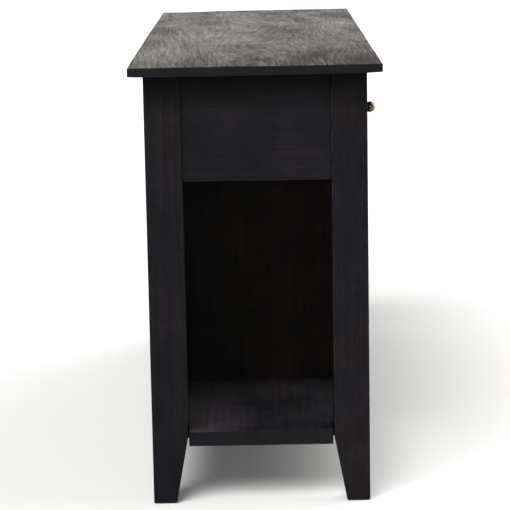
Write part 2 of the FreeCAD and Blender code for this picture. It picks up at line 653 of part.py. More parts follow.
def check_model():
    """Stops if any object failed or any sub-part isn't valid solid geometry."""
    failed = [item.Label for item in doc.Objects if {"Invalid", "Error"} & set(item.State)]
    if failed:
        raise RuntimeError(f"failed objects: {failed}")
    for piece in nodes:
        if piece.Shape.isNull() or not piece.Shape.isValid() or not piece.Shape.Solids:
            raise RuntimeError(f"{piece.Label} has no valid solid")


fill_sheet()
table_top()
end_aprons()
back_apron()
front_top_rail()
front_low_rail()
dividers_and_posts()
legs()
shelf()
partitions()
back_boards()
runners_and_kickers()
guides()
drawers()
doc.recompute()
check_model()

os.makedirs(PARTS_FOLDER, exist_ok=True)
for piece in nodes:
    piece.Shape.exportStep(f"{PARTS_FOLDER}/{piece.Label}.step")
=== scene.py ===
"""Console table of black-stained hardwood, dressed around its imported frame: legs, aprons, rails, shelf,
back, top and three drawers, in the order in which they are put together."""

import math
import random

import bmesh
import bpy
from mathutils import Matrix, Vector, noise


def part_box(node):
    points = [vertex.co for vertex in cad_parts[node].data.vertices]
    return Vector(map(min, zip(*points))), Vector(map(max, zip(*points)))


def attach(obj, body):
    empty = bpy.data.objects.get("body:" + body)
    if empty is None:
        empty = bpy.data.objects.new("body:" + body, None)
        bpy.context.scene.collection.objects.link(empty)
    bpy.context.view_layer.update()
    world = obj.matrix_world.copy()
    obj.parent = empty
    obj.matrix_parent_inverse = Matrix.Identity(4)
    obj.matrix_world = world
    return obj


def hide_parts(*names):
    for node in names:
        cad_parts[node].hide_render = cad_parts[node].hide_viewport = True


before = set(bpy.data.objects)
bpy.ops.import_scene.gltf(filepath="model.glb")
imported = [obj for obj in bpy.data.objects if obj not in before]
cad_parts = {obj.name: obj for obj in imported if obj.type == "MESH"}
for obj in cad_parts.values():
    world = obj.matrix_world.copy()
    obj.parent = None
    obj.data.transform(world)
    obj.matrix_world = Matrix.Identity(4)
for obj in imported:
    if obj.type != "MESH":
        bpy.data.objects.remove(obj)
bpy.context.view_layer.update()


# ---- Studio ---------------------------------------------------------------------------------------------
# A seamless pale paper floor under a large key softbox above one end and a little behind, with a wide fill
# from the front, a small card low at that end to catch the brass, and a dim even room around them. The table
# is seen from one end through a long lens.

FLOOR_SIZE = 300.0
FLOOR_PALE = "#e7e6e4"
ROOM_PALE = "#f3f4f6"
ROOM_LIGHT = 0.38
SOFTBOXES = {  # strength, then softness, height above the horizon and bearing from +X in degrees
    "key_softbox": (3.4, 42, 50, 152),
    "fill_softbox": (2.5, 70, 30, -60),
    "catch_card": (0.5, 12, 13, 186),
}


def linear(hex_colour):
    """An sRGB hex colour as linear red, green, blue and alpha."""
    parts = [int(hex_colour[i:i + 2], 16) / 255 for i in (1, 3, 5)]
    return (*(c / 12.92 if c <= 0.04045 else ((c + 0.055) / 1.055) ** 2.4 for c in parts), 1.0)


def add(tree, kind, links=(), stops=(), **settings):
    """Adds a shader node. Settings name its properties or its inputs, links are (input, output) pairs, and
    stops are a colour ramp's places and colours."""
    made = tree.nodes.new(kind)
    for name, setting in settings.items():
        if hasattr(made, name):
            setattr(made, name, setting)
        else:
            made.inputs[name.replace("_", " ")].default_value = setting
    for socket, source in links:
        tree.links.new(source, made.inputs[socket])
    while stops and len(made.color_ramp.elements) < len(stops):
        made.color_ramp.elements.new(0.5)
    for index, (place, colour) in enumerate(stops):
        made.color_ramp.elements[index].position = place
        made.color_ramp.elements[index].color = colour
    return made


def new_material(name):
    """An empty material and its node tree."""
    material = bpy.data.materials.new(name)
    material.use_nodes = True
    material.node_tree.nodes.clear()
    return material, material.node_tree


bm = bmesh.new()
bmesh.ops.create_grid(bm, x_segments=1, y_segments=1, size=FLOOR_SIZE / 2)
floor_mesh = bpy.data.meshes.new("floor")
bm.to_mesh(floor_mesh)
bm.free()
floor = bpy.data.objects.new("floor", floor_mesh)
bpy.context.collection.objects.link(floor)
# Matt studio paper: an even pale grey with no gloss at all.
paper, tree = new_material("matt_studio_paper")
shader = add(tree, "ShaderNodeBsdfDiffuse", Color=linear(FLOOR_PALE))
add(tree, "ShaderNodeOutputMaterial", [("Surface", shader.outputs[0])])
floor_mesh.materials.append(paper)

world = bpy.data.worlds.new("room")
bpy.context.scene.world = world
world.use_nodes = True
background = world.node_tree.nodes["Background"]
background.inputs["Color"].default_value = linear(ROOM_PALE)
background.inputs["Strength"].default_value = ROOM_LIGHT

for name, (strength, softness, elevation, bearing) in SOFTBOXES.items():
    lamp = bpy.data.lights.new(name, "SUN")
    lamp.energy = strength
    lamp.angle = math.radians(softness)
    lamp_object = bpy.data.objects.new(name, lamp)
    lamp_object.rotation_euler = (0, math.radians(90 - elevation), math.radians(bearing))
    bpy.context.collection.objects.link(lamp_object)

bpy.context.scene.view_settings.view_transform = "Standard"

LENS = 145.05
SENSOR_WIDTH = 36.0
CAMERA_REACH = 400.0  # past the far edge of the floor
CAMERA_PLACE = Vector((-4.0284, -0.0078, 1.0648))
CAMERA_TILT = math.radians(10.632)
CAMERA_YAW = math.radians(0.217)
CAMERA_ROLL = math.radians(-1.03)
lens = bpy.data.cameras.new("camera")
lens.lens = LENS
lens.sensor_width = SENSOR_WIDTH
lens.clip_end = CAMERA_REACH
camera = bpy.data.objects.new("camera", lens)
turn = Matrix.Rotation(CAMERA_YAW - math.pi / 2, 4, "Z") @ Matrix.Rotation(math.pi / 2 - CAMERA_TILT, 4, "X")
camera.matrix_world = Matrix.Translation(CAMERA_PLACE) @ turn @ Matrix.Rotation(CAMERA_ROLL, 4, "Z")
bpy.context.collection.objects.link(camera)
bpy.context.scene.camera = camera


# ---- Legs -----------------------------------------------------------------------------------------------
# Four square hardwood legs, tapered on the two inner faces towards the foot. They are planed, stained
# near-black and waxed, and their arrises are rubbed by use.

SAME_POINT = 0.00002  # corners nearer than this are one corner
FLAT_ANGLE = math.radians(1)  # faces that turn less than this are one face


def cad_copy(node):
    """A mesh of a CAD board with its loose triangles merged into whole faces."""
    bm = bmesh.new()
    bm.from_mesh(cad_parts[node].data)
    bmesh.ops.remove_doubles(bm, verts=bm.verts, dist=SAME_POINT)
    bmesh.ops.dissolve_limit(bm, angle_limit=FLAT_ANGLE, verts=bm.verts, edges=bm.edges)
    for face in bm.faces:
        face.smooth = False
    return bm


SHARP_ANGLE = math.radians(30)  # edges that turn outwards by more than this are arrises
NO_AREA = 1e-7  # faces narrower than this are left out


def ease_arrises(bm, width, segments=2):
    """Rounds the outward edges of a board a little and marks the rounded faces as arrises."""
    arris = bm.faces.layers.float.new("arris")
    edges = [e for e in bm.edges if e.is_manifold and e.calc_face_angle_signed() > SHARP_ANGLE]
    made = bmesh.ops.bevel(
        bm, geom=edges, offset=width, offset_type="OFFSET", affect="EDGES", segments=segments,
        profile=0.5, material=-1, clamp_overlap=True, loop_slide=True)
    for face in made["faces"]:
        if face.calc_area() < width * face.calc_perimeter() / 2:  # not a broad face that was only trimmed
            face[arris] = 1.0
            face.smooth = True
    bmesh.ops.dissolve_degenerate(bm, dist=NO_AREA, edges=bm.edges[:])


GRAIN_SLOPE = 0.03  # how far the pith wanders from a board's own length, as a share


def lay_grain(mesh, name, lay):
    """Gives each point its place in the tree that the board was sawn from: along the grain, across the
    face and through the board. The lay names the axes in that order."""
    rng = random.Random(name)
    axes = ["xyz".index(letter) for letter in lay]
    start = Vector((rng.uniform(0, 9), rng.uniform(-0.04, 0.04), rng.uniform(0.05, 0.12)))
    slopes = (rng.uniform(-GRAIN_SLOPE, GRAIN_SLOPE), rng.uniform(-GRAIN_SLOPE, GRAIN_SLOPE))
    middle = [(min(v.co[a] for v in mesh.vertices) + max(v.co[a] for v in mesh.vertices)) / 2 for a in axes]
    grain = mesh.attributes.new("grain", "FLOAT_VECTOR", "POINT")
    for vertex in mesh.vertices:
        along, across, through = (vertex.co[a] - m for a, m in zip(axes, middle))
        drift = Vector((along, across + along * slopes[0], through + along * slopes[1]))
        grain.data[vertex.index].vector = start + drift


def make_piece(bm, node, body, material, lay):
    """Turns a bmesh into the visible piece that stands for a CAD board."""
    mesh = bpy.data.meshes.new(node)
    bm.to_mesh(mesh)
    bm.free()
    old_normals = mesh.attributes.get("custom_normal")  # the CAD mesh's own, which fit its sharp edges only
    if old_normals:
        mesh.attributes.remove(old_normals)
    lay_grain(mesh, node, lay)
    mesh.materials.append(material)
    piece = bpy.data.objects.new(f"{node}_finished", mesh)
    bpy.context.collection.objects.link(piece)
    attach(piece, body)
    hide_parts(node)
    return piece


def spread(colours, low, high):
    """Hex colours set out evenly from one place on a colour ramp to another."""
    steps = len(colours) - 1
    return [(low + (high - low) * index / steps, linear(colour)) for index, colour in enumerate(colours)]


BLOTCH_MM = 71.4  # how broad the blotches of uneven stain are
TINT_MM = 200.0  # how far apart the tints lie
RUB_MM = 26.3  # how long the rubbed places on an arris are
PORES_PER_FIBRE = 3.3  # how much finer the pores are than the fibres
PAINTED_SHADE_SHARE = 0.9  # how much of the colour the painted shade under the top's overhang takes away


def sawn_wood(
        name, colours, tints, rub_colour, ring_mm, ring_share, fibre_mm, roughness, specular, relief_mm, rub,
        painted_shade_band=None, wear_and_painted_light=()):
    """Flat-sawn wood: growth rings about the pith, fibres and pores along the grain, broad blotches where
    the finish took unevenly, tints that drift along the board, and a rubbed colour on the arrises. The
    colour may be darkened towards black between two heights, as painted shade, and lightened in round
    places too, each a centre, a reach and a share, partly rubbed wear and partly painted light. Fibres and
    pores are drawn coarser than real ones, so that they show."""
    material, tree = new_material(name)
    grain = add(tree, "ShaderNodeAttribute", attribute_name="grain").outputs["Vector"]
    slow = add(tree, "ShaderNodeMapping", [("Vector", grain)], Scale=(0.09, 1.0, 1.0))
    rings = add(
        tree, "ShaderNodeTexWave", [("Vector", slow.outputs[0])], wave_type="RINGS", rings_direction="X",
        wave_profile="SAW", Scale=math.tau / 20 / (ring_mm / 1000), Distortion=5.0, Detail=3.0,
        Detail_Scale=0.35, Detail_Roughness=0.55)
    drawn_out = add(tree, "ShaderNodeMapping", [("Vector", grain)], Scale=(0.035, 1.0, 1.0))
    fibres = add(
        tree, "ShaderNodeTexNoise", [("Vector", drawn_out.outputs[0])], Scale=1000 / fibre_mm, Detail=5.0,
        Roughness=0.65)
    pores = add(
        tree, "ShaderNodeTexNoise", [("Vector", drawn_out.outputs[0])],
        Scale=1000 * PORES_PER_FIBRE / fibre_mm, Detail=1.0)
    pits = add(tree, "ShaderNodeMapRange", [("Value", pores.outputs["Fac"])], From_Min=0.60, From_Max=0.72)
    blotches = add(
        tree, "ShaderNodeTexNoise", [("Vector", grain)], Scale=1000 / BLOTCH_MM, Detail=5.0, Roughness=0.62)
    figure = add(
        tree, "ShaderNodeMix", [("A", fibres.outputs["Fac"]), ("B", rings.outputs["Fac"])], Factor=ring_share)
    tone = add(
        tree, "ShaderNodeMix", [("A", figure.outputs[0]), ("B", blotches.outputs["Fac"])], Factor=0.55)
    base = add(
        tree, "ShaderNodeValToRGB", [("Fac", tone.outputs[0])], stops=spread(colours, 0.34, 0.66))
    drifts = add(
        tree, "ShaderNodeTexNoise", [("Vector", grain)], noise_dimensions="4D", W=3.0,
        Scale=1000 / TINT_MM, Detail=2.0)
    tint = add(
        tree, "ShaderNodeValToRGB", [("Fac", drifts.outputs["Fac"])], stops=spread(tints, 0.36, 0.64))
    tinted = add(
        tree, "ShaderNodeMix", [("A", base.outputs[0]), ("B", tint.outputs[0])], data_type="RGBA",
        blend_type="MULTIPLY", Factor=1.0)
    coloured = add(
        tree, "ShaderNodeMix", [("Factor", pits.outputs[0]), ("A", tinted.outputs["Result"])],
        data_type="RGBA", B=linear(colours[0]))
    here = add(tree, "ShaderNodeTexCoord").outputs["Object"]
    # Painted shade: between the two heights the colour is darkened towards black, the shadow under the top's
    # overhang.
    if painted_shade_band:
        level = add(tree, "ShaderNodeSeparateXYZ", [("Vector", here)])
        painted_shade = add(
            tree, "ShaderNodeMapRange", [("Value", level.outputs["Z"])], From_Min=painted_shade_band[0], From_Max=painted_shade_band[1],
            To_Min=0.0, To_Max=PAINTED_SHADE_SHARE)
        coloured = add(
            tree, "ShaderNodeMix", [("Factor", painted_shade.outputs[0]), ("A", coloured.outputs["Result"])],
            data_type="RGBA", B=linear("#000000"))
    # Round places lightened towards the rubbed colour: partly rubbed wear, partly painted light over cast
    # shade.
    for centre, reach, share in wear_and_painted_light:
        near = add(tree, "ShaderNodeVectorMath", [(0, here)], operation="SUBTRACT")
        near.inputs[1].default_value = centre
        scaled = add(tree, "ShaderNodeVectorMath", [(0, near.outputs[0])], operation="DIVIDE")
        scaled.inputs[1].default_value = reach
        ball = add(tree, "ShaderNodeTexGradient", [("Vector", scaled.outputs[0])], gradient_type="SPHERICAL")
        uneven = add(
            tree, "ShaderNodeMath", [(0, ball.outputs["Fac"]), (1, tone.outputs[0])], operation="MULTIPLY")
        thinned = add(
            tree, "ShaderNodeMapRange", [("Value", uneven.outputs[0])], From_Min=0.0, From_Max=0.4,
            To_Min=0.0, To_Max=share)
        coloured = add(
            tree, "ShaderNodeMix", [("Factor", thinned.outputs[0]), ("A", coloured.outputs["Result"])],
            data_type="RGBA", B=linear(rub_colour))
    edge = add(tree, "ShaderNodeAttribute", attribute_name="arris").outputs["Fac"]
    patchy = add(tree, "ShaderNodeTexNoise", [("Vector", grain)], Scale=1000 / RUB_MM, Detail=4.0)
    rubbed = add(tree, "ShaderNodeMath", [(0, edge), (1, patchy.outputs["Fac"])], operation="MULTIPLY")
    bared = add(
        tree, "ShaderNodeMapRange", [("Value", rubbed.outputs[0])], From_Min=0.40, From_Max=0.72, To_Min=0.0,
        To_Max=rub)
    coloured = add(
        tree, "ShaderNodeMix", [("Factor", bared.outputs[0]), ("A", coloured.outputs["Result"])],
        data_type="RGBA", B=linear(rub_colour))
    rough = add(
        tree, "ShaderNodeMapRange", [("Value", tone.outputs[0])], From_Min=0.35, From_Max=0.65,
        To_Min=roughness[0], To_Max=roughness[1])
    relief = add(
        tree, "ShaderNodeMath", [(0, fibres.outputs["Fac"]), (1, pits.outputs[0])], operation="SUBTRACT")
    bump = add(
        tree, "ShaderNodeBump", [("Height", relief.outputs[0])], Strength=0.6, Distance=relief_mm / 1000)
    shader = add(
        tree, "ShaderNodeBsdfPrincipled",
        [("Base Color", coloured.outputs["Result"]), ("Roughness", rough.outputs[0]),
         ("Normal", bump.outputs[0])],
        Specular_IOR_Level=specular)
    add(tree, "ShaderNodeOutputMaterial", [("Surface", shader.outputs[0])])
    return material


# Ebonised hardwood under a thin wax: near-black with brown and blue-violet in it, a soft low gloss. Just
# under the top it is darkened towards black, as painted shade from the top's overhang.
BLACK_STAIN = ("#0d0d0f", "#131214", "#181719", "#1e1c1f")
BLACK_TINTS = ("#ffefee", "#fcf6ff", "#e8e6ff")
black_wood = sawn_wood(
    "black_stained_hardwood", BLACK_STAIN, BLACK_TINTS, "#4e4843", ring_mm=9.0, ring_share=0.15, fibre_mm=4.0,
    roughness=(0.46, 0.58), specular=0.05, relief_mm=0.3, rub=0.32, painted_shade_band=(0.665, 0.73))

LEG_ARRIS = 0.0014
FOOT_CHAMFER = 0.0026
for side in ("left", "right"):
    for end in ("front", "rear"):
        leg = f"{side}_{end}_leg"
        bm = cad_copy(leg)
        sole = min(v.co.z for v in bm.verts)
        sole_edges = [e for e in bm.edges if all(v.co.z < sole + SAME_POINT for v in e.verts)]
        bmesh.ops.bevel(
            bm, geom=sole_edges, offset=FOOT_CHAMFER, offset_type="OFFSET", affect="EDGES", segments=1,
            profile=0.5, material=-1, clamp_overlap=True)
        ease_arrises(bm, LEG_ARRIS, segments=3)
        make_piece(bm, leg, "table_frame", black_wood, "zyx")


# ---- Aprons and front rails -----------------------------------------------------------------------------
# Boards tenoned between the legs: one at each end, one at the back, and two rails across the front. The
# grain runs along each one, and the stain is the same as on the legs.

APRON_ARRIS = 0.0008
for node, lay in (
    ("left_end_apron", "yzx"), ("right_end_apron", "yzx"), ("back_apron", "xzy"),
    ("front_top_rail", "xzy"), ("front_low_rail", "xzy"),
):
    bm = cad_copy(node)
    ease_arrises(bm, APRON_ARRIS)
    make_piece(bm, node, "table_frame", black_wood, lay)


# ---- Dividers, posts and partitions ---------------------------------------------------------------------
# Uprights of the front frame, stub-tenoned into the rails and the shelf, and the boards behind them that
# part the bays. What stands inside the bays took the stain but was never waxed; its darker colour is painted
# shade.

# The same stain left raw: matt and browner, with its colours darkened as painted shade for the inside of the
# bays.
RAW_STAIN_WITH_PAINTED_SHADE = ("#09080a", "#0e0d0d", "#151312", "#1b1917")
RAW_TINTS = ("#ffe0d4", "#f2f4d0", "#e2e4ff")
raw_black_wood_painted_shade = sawn_wood(
    "raw_stained_hardwood_painted_shade", RAW_STAIN_WITH_PAINTED_SHADE, RAW_TINTS, "#332f2c", ring_mm=14.0, ring_share=0.12, fibre_mm=6.0,
    roughness=(0.7, 0.85), specular=0.06, relief_mm=0.2, rub=0.5)
for side in ("left", "right"):
    for part, finish in (
        ("drawer_divider", black_wood), ("front_post", black_wood), ("partition", raw_black_wood_painted_shade),
    ):
        bm = cad_copy(f"{side}_{part}")
        ease_arrises(bm, APRON_ARRIS)
        make_piece(bm, f"{side}_{part}", "table_frame", finish, "zyx")


# ---- Lower shelf ----------------------------------------------------------------------------------------
# One broad board notched round the legs and dowelled to them. It is stained and waxed like the legs, and
# its upper face is rubbed where things have stood on it and slid over it, and lightened at the -x end as
# painted light over the shade of the near leg and of the bay.

SHELF_ARRIS = 0.0014
shelf_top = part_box("lower_shelf")[1][2]
SHELF_WEAR_AND_PAINTED_LIGHT = (  # centre, reach and share of the lightened places: the two at the -x end are painted light over the shade of the near leg and the bay, the others rubbed wear
    ((-0.55, 0.15, shelf_top), (0.30, 0.15, 0.004), 0.50),
    ((-0.34, 0.02, shelf_top), (0.12, 0.22, 0.004), 0.20),
    ((0.05, -0.10, shelf_top), (0.34, 0.16, 0.004), 0.22),
    ((0.50, 0.02, shelf_top), (0.24, 0.18, 0.004), 0.20),
)
# The legs' stain with longer, calmer fibres, lightened to a dull grey-violet in round places, partly rubbed
# wear and partly painted light.
black_shelf = sawn_wood(
    "black_stained_shelf_rubbed_and_painted_light", BLACK_STAIN, BLACK_TINTS, "#4c484c", ring_mm=9.0, ring_share=0.10,
    fibre_mm=6.0, roughness=(0.46, 0.58), specular=0.05, relief_mm=0.2, rub=0.06, wear_and_painted_light=SHELF_WEAR_AND_PAINTED_LIGHT)
bm = cad_copy("lower_shelf")
ease_arrises(bm, SHELF_ARRIS, segments=3)
make_piece(bm, "lower_shelf", "table_frame", black_shelf, "xyz")


# ---- Back boards ----------------------------------------------------------------------------------------
# Three level boards, tongued together and let into the legs, with a small eased gap at each joint. They
# are stained but not waxed, like the partitions, and share their darker colour, painted shade for the bays.

for row in ("lower", "middle", "upper"):
    bm = cad_copy(f"{row}_back_board")
    ease_arrises(bm, APRON_ARRIS)
    make_piece(bm, f"{row}_back_board", "table_frame", raw_black_wood_painted_shade, "xzy")


# ---- Runners, guides, kickers, stops and dowels ---------------------------------------------------------
# The boards that carry and guide the drawers, the blocks that stop them, and the shelf's dowels. All are
# out of sight, so they are left bare.

# Bare hardwood browned with age: a warm mid-brown, quite matt, with its rings plain to see.
BARE_WOOD = ("#5b412b", "#6b4d33", "#7d5c3e", "#8e6b4a", "#9c7a58")
BARE_TINTS = ("#fff4ea", "#ffffff", "#f6f2e4")
bare_wood = sawn_wood(
    "bare_aged_hardwood", BARE_WOOD, BARE_TINTS, "#b09070", ring_mm=6.0, ring_share=0.5, fibre_mm=3.0,
    roughness=(0.65, 0.8), specular=0.35, relief_mm=0.25, rub=0.3)
INNER_ARRIS = 0.0005
bare_pieces = [
    (f"{side}_{flank}_{part}", "yzx")
    for side in ("left", "right") for flank in ("end", "inner") for part in ("runner", "guide", "kicker")
]
for node, lay in bare_pieces + [("drawer_stops", "yzx"), ("shelf_dowels", "xyz")]:
    bm = cad_copy(node)
    ease_arrises(bm, INNER_ARRIS)
    make_piece(bm, node, "table_frame", bare_wood, lay)


# ---- Table top ------------------------------------------------------------------------------------------
# Three thin boards of figured hardwood glued edge to edge, worked by hand, a little uneven, and screwed
# down from below. The upper face is worn to a mottled grey, and the edges and underside are still black.

TOP_ARRIS = 0.0016
TOP_CELL = 0.008  # how far apart the points of the face are
TOP_JOINTS = (-0.072, 0.081)  # where the three boards meet, as y
JOINT_WIDTH = 0.0014
JOINT_DEPTH = 0.0006
top_low, top_high = (Vector(corner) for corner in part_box("table_top"))
top_size = top_high - top_low
bm = bmesh.new()
bmesh.ops.create_cube(bm, size=1.0)
bmesh.ops.scale(bm, vec=top_size, verts=bm.verts)
bmesh.ops.translate(bm, vec=(top_low + top_high) / 2, verts=bm.verts)
ease_arrises(bm, TOP_ARRIS, segments=3)
for axis in (0, 1):
    lengthwise = [e for e in bm.edges if abs(e.verts[0].co[axis] - e.verts[1].co[axis]) > top_size[axis] / 2]
    bmesh.ops.subdivide_edges(
        bm, edges=lengthwise, cuts=round(top_size[axis] / TOP_CELL), use_grid_fill=True)
for joint in TOP_JOINTS:
    for shift in (-0.5, 0.0, 0.5):
        bmesh.ops.bisect_plane(
            bm, geom=bm.verts[:] + bm.edges[:] + bm.faces[:], dist=SAME_POINT / 2,
            plane_co=(0, joint + shift * JOINT_WIDTH, 0), plane_no=(0, 1, 0))

RIM = 0.022  # how far in from the edge the underside is shaped, short of the legs
LIP = 0.0026  # how far the underside hangs down at its edge, where it was never planed
FACE_WAVE = 0.0004  # how deep the hand-planed waves are over the whole face
RIM_WAVE = 0.0007  # how much deeper they are at its edge
WAVES_PER_METRE = 9
EDGE_BOW = 0.0012  # how far the sides bow inwards
BOWS_PER_METRE = 5
BOWED_PART = 20  # the bow fades out within one part in this many of the way to the middle
DISHES = (  # where the upper face has shrunk: x, y, reach along and across, depth
    (0.60, 0.20, 0.35, 0.15, 0.0018),
    (-0.66, 0.20, 0.08, 0.09, 0.0010),
    (-0.67, -0.05, 0.06, 0.05, 0.0007),
    (-0.20, -0.02, 0.30, 0.10, 0.0006),
)
LIFTS = (  # where the edge of the underside was planed away: x, y, reach along and across, height
    (-0.67, -0.12, 0.10, 0.14, 0.0010),
    (-0.67, -0.22, 0.10, 0.035, 0.0026),
    (-0.67, 0.22, 0.10, 0.040, 0.0013),
    (0.67, 0.20, 0.12, 0.08, 0.0020),
)


def hill(point, x, y, along, across, height):
    """The height of a soft round hill over a point."""
    return height * math.exp(-((point.x - x) / along) ** 2 - ((point.y - y) / across) ** 2)


def unevenness(*place):
    """A smooth noise from about 0 to 1."""
    return 0.5 + 0.5 * noise.noise(Vector(place))


face_share = bm.verts.layers.float.new("face")
for vertex in bm.verts:
    point = vertex.co.copy()
    to_edge = min(
        point.x - top_low.x, top_high.x - point.x, point.y - top_low.y, top_high.y - point.y)
    rim_share = max(0.0, 1 - to_edge / RIM)
    wave = unevenness(point.x * WAVES_PER_METRE, point.y * WAVES_PER_METRE, 4.0)
    if point.z > (top_low.z + top_high.z) / 2:
        vertex[face_share] = max(0.0, 1 - (top_high.z - point.z) / TOP_ARRIS)
        sunk = sum(hill(point, *dish) for dish in DISHES)
        groove = sum(max(0.0, 1 - abs(point.y - joint) / JOINT_WIDTH * 2) for joint in TOP_JOINTS)
        vertex.co.z -= sunk + FACE_WAVE * wave + RIM_WAVE * rim_share * wave + JOINT_DEPTH * groove
    else:
        raised = sum(hill(point, *lift) for lift in LIFTS)
        vertex.co.z += rim_share * (raised + FACE_WAVE * wave - LIP)
    for axis, other in ((0, 1), (1, 0)):
        edge_share = max(0.0, abs(point[axis]) / top_high[axis] * BOWED_PART - (BOWED_PART - 1))
        bow = unevenness(point[other] * BOWS_PER_METRE, axis * 7.0 + math.copysign(2, point[axis]), 0)
        vertex.co[axis] -= math.copysign(EDGE_BOW * edge_share * bow, point[axis])

# Black stain worn through on a hardwood top: cool and warm greys over the dark pores, satin from years of
# polish, with the stain still black at the edges. The grey is made darker at the -x end and lighter towards
# +x in broad places, partly wear and partly painted sheen.
TOP_WORN = ("#2f2d2c", "#4a4845", "#64625e", "#797672", "#949089")
TOP_TINTS = ("#f7edea", "#ffffff", "#f1f3ee")
EDGE_STAIN = ("#070709", "#0a090b", "#0e0d10", "#131215")
SWIRL_MM = 111.0  # how far apart the swirls in the grain lie
TOP_RING_MM = 9.0  # how wide the growth rings are
TOP_FIBRE_MM = 4.17  # drawn coarser than real fibres, to show at this distance
FLECK_MM = 6.67  # the curled flecks between the fibres
PATCH_MM = 66.7  # the patches where the stain has gone
TOP_TINT_MM = 250.0  # how far apart the warm and cool greys lie
worn_top_with_painted_sheen, tree = new_material("worn_grey_stained_top_with_painted_sheen")
grain = add(tree, "ShaderNodeAttribute", attribute_name="grain").outputs["Vector"]
here = add(tree, "ShaderNodeTexCoord").outputs["Object"]
long_waves = add(tree, "ShaderNodeMapping", [("Vector", grain)], Scale=(0.28, 1.0, 1.0))
swirl_noise = add(
    tree, "ShaderNodeTexNoise", [("Vector", long_waves.outputs[0])], Scale=1000 / SWIRL_MM, Detail=3.0,
    Roughness=0.55)
swirl = add(tree, "ShaderNodeVectorMath", [(0, swirl_noise.outputs["Color"])], operation="SCALE", Scale=0.065)
swirled = add(tree, "ShaderNodeVectorMath", [(0, grain), (1, swirl.outputs[0])], operation="ADD")
slow = add(tree, "ShaderNodeMapping", [("Vector", swirled.outputs[0])], Scale=(0.10, 1.0, 1.0))
rings = add(
    tree, "ShaderNodeTexWave", [("Vector", slow.outputs[0])], wave_type="RINGS", rings_direction="X",
    wave_profile="SAW", Scale=math.tau / 20 / (TOP_RING_MM / 1000), Distortion=4.0, Detail=3.0,
    Detail_Scale=0.5, Detail_Roughness=0.6)
drawn_out = add(tree, "ShaderNodeMapping", [("Vector", grain)], Scale=(0.05, 1.0, 1.0))
fibres = add(
    tree, "ShaderNodeTexNoise", [("Vector", drawn_out.outputs[0])], Scale=1000 / TOP_FIBRE_MM, Detail=5.0,
    Roughness=0.7)
curls = add(tree, "ShaderNodeMapping", [("Vector", swirled.outputs[0])], Scale=(0.45, 1.0, 1.0))
flecks = add(
    tree, "ShaderNodeTexNoise", [("Vector", curls.outputs[0])], Scale=1000 / FLECK_MM, Detail=4.0,
    Roughness=0.75, Distortion=0.8)
drawn_patches = add(tree, "ShaderNodeMapping", [("Vector", here)], Scale=(0.4, 1.0, 1.0))
patches = add(
    tree, "ShaderNodeTexNoise", [("Vector", drawn_patches.outputs[0])], Scale=1000 / PATCH_MM, Detail=6.0,
    Roughness=0.6)
figure = add(
    tree, "ShaderNodeMix", [("A", fibres.outputs["Fac"]), ("B", rings.outputs["Fac"])], Factor=0.16)
flecked = add(tree, "ShaderNodeMix", [("A", figure.outputs[0]), ("B", flecks.outputs["Fac"])], Factor=0.30)
tone = add(tree, "ShaderNodeMix", [("A", flecked.outputs[0]), ("B", patches.outputs["Fac"])], Factor=0.40)
# Partly wear and partly painted sheen: the fades set on the top lighten or darken its grey.
wear_and_sheen = add(tree, "ShaderNodeAttribute", attribute_name="wear_and_sheen").outputs["Fac"]
tone_with_wear_and_sheen = add(tree, "ShaderNodeMath", [(0, tone.outputs[0]), (1, wear_and_sheen)], operation="ADD")
base = add(
    tree, "ShaderNodeValToRGB", [("Fac", tone_with_wear_and_sheen.outputs[0])], stops=spread(TOP_WORN, 0.375, 0.635))
drifts = add(
    tree, "ShaderNodeTexNoise", [("Vector", here)], noise_dimensions="4D", W=5.0,
    Scale=1000 / TOP_TINT_MM, Detail=1.5)
tint = add(
    tree, "ShaderNodeValToRGB", [("Fac", drifts.outputs["Fac"])], stops=spread(TOP_TINTS, 0.38, 0.62))
tinted = add(
    tree, "ShaderNodeMix", [("A", base.outputs[0]), ("B", tint.outputs[0])], data_type="RGBA",
    blend_type="MULTIPLY", Factor=1.0)
face = add(tree, "ShaderNodeAttribute", attribute_name="face").outputs["Fac"]
ragged = add(tree, "ShaderNodeMix", [("A", face), ("B", patches.outputs["Fac"])], Factor=0.3)
shown = add(tree, "ShaderNodeMapRange", [("Value", ragged.outputs[0])], From_Min=0.62, From_Max=0.80)
stain = add(
    tree, "ShaderNodeValToRGB", [("Fac", tone_with_wear_and_sheen.outputs[0])], stops=spread(EDGE_STAIN, 0.34, 0.66))
coloured = add(
    tree, "ShaderNodeMix",
    [("Factor", shown.outputs[0]), ("A", stain.outputs[0]), ("B", tinted.outputs["Result"])],
    data_type="RGBA")
rough = add(
    tree, "ShaderNodeMapRange", [("Value", tone.outputs[0])], From_Min=0.3, From_Max=0.7, To_Min=0.62,
    To_Max=0.46)
relief = add(tree, "ShaderNodeMath", [(0, flecked.outputs[0]), (1, fibres.outputs["Fac"])], operation="ADD")
bump = add(tree, "ShaderNodeBump", [("Height", relief.outputs[0])], Strength=0.6, Distance=0.0005)
shader = add(
    tree, "ShaderNodeBsdfPrincipled",
    [("Base Color", coloured.outputs["Result"]), ("Roughness", rough.outputs[0]),
     ("Normal", bump.outputs[0])],
    Specular_IOR_Level=0.12)
add(tree, "ShaderNodeOutputMaterial", [("Surface", shader.outputs[0])])

